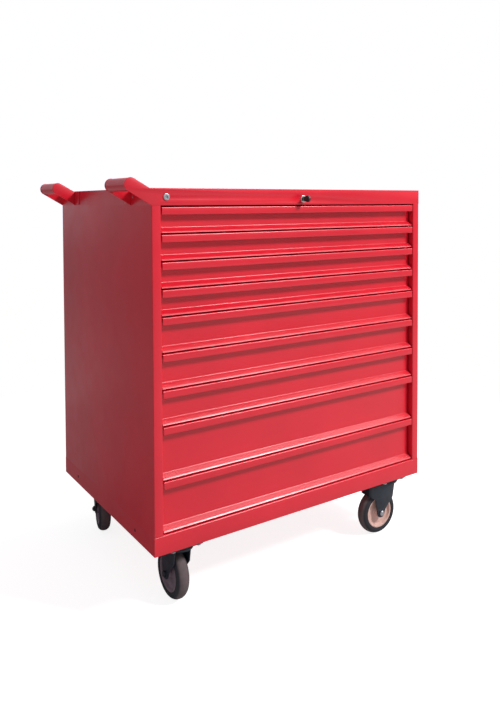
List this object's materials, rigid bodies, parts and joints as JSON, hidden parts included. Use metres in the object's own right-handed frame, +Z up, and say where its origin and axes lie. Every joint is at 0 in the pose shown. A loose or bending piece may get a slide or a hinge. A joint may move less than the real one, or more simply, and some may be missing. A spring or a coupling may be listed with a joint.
{
  "type": "rolling tool chest",
  "caption": "Rolling steel tool chest of full-width sliding drawers with a lined shallow top, side push handles, a central key lock, swivel casters and foot brakes.",
  "frame": {"origin": "centre of the bounding box at floor level", "axes": "+Z up, -Y out of the drawer fronts, -X towards the push handles"},
  "size_m": [1.1016, 0.7605, 1.2147],
  "materials": {
    "red_paint": "semi-gloss powder coat",
    "mat_rubber": "fine-ribbed matte",
    "zinc_steel": "bright zinc plate",
    "chrome": "polished",
    "key_black": "satin",
    "fork_paint": "satin blue-black",
    "tyre_rubber": "matte",
    "hub_plastic": "satin"
  },
  "bodies": {
    "cabinet": {"left_side_panel": "red_paint", "right_side_panel": "red_paint", "back_panel": "red_paint", "base_pan": "red_paint", "front_band": "red_paint", "rear_band": "red_paint", "top_tray": "red_paint", "top_mat": "mat_rubber", "handle_brackets": "red_paint", "handle_grips": "red_paint", "band_screws": "chrome", "side_screws": "zinc_steel", "caster_bolts": "zinc_steel", "runner_racks": "zinc_steel", "caster_plates": "fork_paint", "lock_housing": "chrome"},
    "drawer_1": {"drawer_1_front": "red_paint", "drawer_1_tub": "red_paint"},
    "drawer_1_middle": {"drawer_1_middle_runners": "zinc_steel"},
    "drawer_2": {"drawer_2_front": "red_paint", "drawer_2_tub": "red_paint"},
    "drawer_2_middle": {"drawer_2_middle_runners": "zinc_steel"},
    "drawer_3": {"drawer_3_front": "red_paint", "drawer_3_tub": "red_paint"},
    "drawer_3_middle": {"drawer_3_middle_runners": "zinc_steel"},
    "drawer_4": {"drawer_4_front": "red_paint", "drawer_4_tub": "red_paint"},
    "drawer_4_middle": {"drawer_4_middle_runners": "zinc_steel"},
    "drawer_5": {"drawer_5_front": "red_paint", "drawer_5_tub": "red_paint"},
    "drawer_5_middle": {"drawer_5_middle_runners": "zinc_steel"},
    "drawer_6": {"drawer_6_front": "red_paint", "drawer_6_tub": "red_paint"},
    "drawer_6_middle": {"drawer_6_middle_runners": "zinc_steel"},
    "drawer_7": {"drawer_7_front": "red_paint", "drawer_7_tub": "red_paint"},
    "drawer_7_middle": {"drawer_7_middle_runners": "zinc_steel"},
    "drawer_8": {"drawer_8_front": "red_paint", "drawer_8_tub": "red_paint"},
    "drawer_8_middle": {"drawer_8_middle_runners": "zinc_steel"},
    "drawer_9": {"drawer_9_front": "red_paint", "drawer_9_tub": "red_paint"},
    "drawer_9_middle": {"drawer_9_middle_runners": "zinc_steel"},
    "lock_barrel": {"lock_barrel": "chrome", "key": "key_black"},
    "lock_bar": {"lock_bar": "zinc_steel"},
    "front_left_caster": {"front_left_fork": "fork_paint"},
    "front_left_wheel": {"front_left_tyre": "tyre_rubber", "front_left_hub": "hub_plastic"},
    "front_left_brake": {"front_left_brake_pedal": "fork_paint"},
    "front_right_caster": {"front_right_fork": "fork_paint"},
    "front_right_wheel": {"front_right_tyre": "tyre_rubber", "front_right_hub": "hub_plastic"},
    "rear_left_caster": {"rear_left_fork": "fork_paint"},
    "rear_left_wheel": {"rear_left_tyre": "tyre_rubber", "rear_left_hub": "hub_plastic"},
    "rear_left_brake": {"rear_left_brake_pedal": "fork_paint"},
    "rear_right_caster": {"rear_right_fork": "fork_paint"},
    "rear_right_wheel": {"rear_right_tyre": "tyre_rubber", "rear_right_hub": "hub_plastic"}
  },
  "joints": [
    {"name": "drawer_1_slide", "type": "slide", "parent": "cabinet", "child": "drawer_1", "axis": [0, -1, 0], "range_m": [0, 0.6]},
    {"name": "drawer_1_middle_slide", "type": "slide", "parent": "cabinet", "child": "drawer_1_middle", "axis": [0, -1, 0], "range_m": [0, 0.3]},
    {"name": "drawer_2_slide", "type": "slide", "parent": "cabinet", "child": "drawer_2", "axis": [0, -1, 0], "range_m": [0, 0.6]},
    {"name": "drawer_2_middle_slide", "type": "slide", "parent": "cabinet", "child": "drawer_2_middle", "axis": [0, -1, 0], "range_m": [0, 0.3]},
    {"name": "drawer_3_slide", "type": "slide", "parent": "cabinet", "child": "drawer_3", "axis": [0, -1, 0], "range_m": [0, 0.6]},
    {"name": "drawer_3_middle_slide", "type": "slide", "parent": "cabinet", "child": "drawer_3_middle", "axis": [0, -1, 0], "range_m": [0, 0.3]},
    {"name": "drawer_4_slide", "type": "slide", "parent": "cabinet", "child": "drawer_4", "axis": [0, -1, 0], "range_m": [0, 0.6]},
    {"name": "drawer_4_middle_slide", "type": "slide", "parent": "cabinet", "child": "drawer_4_middle", "axis": [0, -1, 0], "range_m": [0, 0.3]},
    {"name": "drawer_5_slide", "type": "slide", "parent": "cabinet", "child": "drawer_5", "axis": [0, -1, 0], "range_m": [0, 0.6]},
    {"name": "drawer_5_middle_slide", "type": "slide", "parent": "cabinet", "child": "drawer_5_middle", "axis": [0, -1, 0], "range_m": [0, 0.3]},
    {"name": "drawer_6_slide", "type": "slide", "parent": "cabinet", "child": "drawer_6", "axis": [0, -1, 0], "range_m": [0, 0.6]},
    {"name": "drawer_6_middle_slide", "type": "slide", "parent": "cabinet", "child": "drawer_6_middle", "axis": [0, -1, 0], "range_m": [0, 0.3]},
    {"name": "drawer_7_slide", "type": "slide", "parent": "cabinet", "child": "drawer_7", "axis": [0, -1, 0], "range_m": [0, 0.6]},
    {"name": "drawer_7_middle_slide", "type": "slide", "parent": "cabinet", "child": "drawer_7_middle", "axis": [0, -1, 0], "range_m": [0, 0.3]},
    {"name": "drawer_8_slide", "type": "slide", "parent": "cabinet", "child": "drawer_8", "axis": [0, -1, 0], "range_m": [0, 0.6]},
    {"name": "drawer_8_middle_slide", "type": "slide", "parent": "cabinet", "child": "drawer_8_middle", "axis": [0, -1, 0], "range_m": [0, 0.3]},
    {"name": "drawer_9_slide", "type": "slide", "parent": "cabinet", "child": "drawer_9", "axis": [0, -1, 0], "range_m": [0, 0.6]},
    {"name": "drawer_9_middle_slide", "type": "slide", "parent": "cabinet", "child": "drawer_9_middle", "axis": [0, -1, 0], "range_m": [0, 0.3]},
    {"name": "lock_turn", "type": "hinge", "parent": "cabinet", "child": "lock_barrel", "pos_m": [0.03815, -0.34775, 1.1575], "axis": [0, 1, 0], "range_deg": [0, 90]},
    {"name": "lock_bar_slide", "type": "slide", "parent": "cabinet", "child": "lock_bar", "axis": [0, 0, -1], "range_m": [0, 0.008]},
    {"name": "front_left_swivel", "type": "hinge", "parent": "cabinet", "child": "front_left_caster", "pos_m": [-0.36885, -0.30025, 0.17], "axis": [0, 0, 1], "continuous": true},
    {"name": "front_left_roll", "type": "hinge", "parent": "front_left_caster", "child": "front_left_wheel", "pos_m": [-0.36841, -0.25025, 0.075], "axis": [1, -0.0087, 0], "continuous": true},
    {"name": "front_left_brake_pedal", "type": "hinge", "parent": "front_left_caster", "child": "front_left_brake", "pos_m": [-0.36788, -0.18925, 0.1636], "axis": [-1, 0.0087, 0], "range_deg": [0, 10]},
    {"name": "front_right_swivel", "type": "hinge", "parent": "cabinet", "child": "front_right_caster", "pos_m": [0.44515, -0.30025, 0.17], "axis": [0, 0, 1], "continuous": true},
    {"name": "front_right_roll", "type": "hinge", "parent": "front_right_caster", "child": "front_right_wheel", "pos_m": [0.39518, -0.29851, 0.075], "axis": [0.0349, 0.9994, 0], "continuous": true},
    {"name": "rear_left_swivel", "type": "hinge", "parent": "cabinet", "child": "rear_left_caster", "pos_m": [-0.36885, 0.31275, 0.17], "axis": [0, 0, 1], "continuous": true},
    {"name": "rear_left_roll", "type": "hinge", "parent": "rear_left_caster", "child": "rear_left_wheel", "pos_m": [-0.38095, 0.26423, 0.075], "axis": [-0.9703, 0.2419, 0], "continuous": true},
    {"name": "rear_left_brake_pedal", "type": "hinge", "parent": "rear_left_caster", "child": "rear_left_brake", "pos_m": [-0.3957, 0.20505, 0.1636], "axis": [0.9703, -0.2419, 0], "range_deg": [0, 10]},
    {"name": "rear_right_swivel", "type": "hinge", "parent": "cabinet", "child": "rear_right_caster", "pos_m": [0.44515, 0.31275, 0.17], "axis": [0, 0, 1], "continuous": true},
    {"name": "rear_right_roll", "type": "hinge", "parent": "rear_right_caster", "child": "rear_right_wheel", "pos_m": [0.39624, 0.30235, 0.075], "axis": [-0.2079, 0.9781, 0], "continuous": true}
  ],
  "couplings": [
    {"joint": "drawer_1_middle_slide", "follows": "drawer_1_slide", "ratio": 0.5},
    {"joint": "drawer_2_middle_slide", "follows": "drawer_2_slide", "ratio": 0.5},
    {"joint": "drawer_3_middle_slide", "follows": "drawer_3_slide", "ratio": 0.5},
    {"joint": "drawer_4_middle_slide", "follows": "drawer_4_slide", "ratio": 0.5},
    {"joint": "drawer_5_middle_slide", "follows": "drawer_5_slide", "ratio": 0.5},
    {"joint": "drawer_6_middle_slide", "follows": "drawer_6_slide", "ratio": 0.5},
    {"joint": "drawer_7_middle_slide", "follows": "drawer_7_slide", "ratio": 0.5},
    {"joint": "drawer_8_middle_slide", "follows": "drawer_8_slide", "ratio": 0.5},
    {"joint": "drawer_9_middle_slide", "follows": "drawer_9_slide", "ratio": 0.5},
    {"joint": "lock_turn", "follows": "lock_bar_slide", "rad_per_m": 196.35}
  ]
}
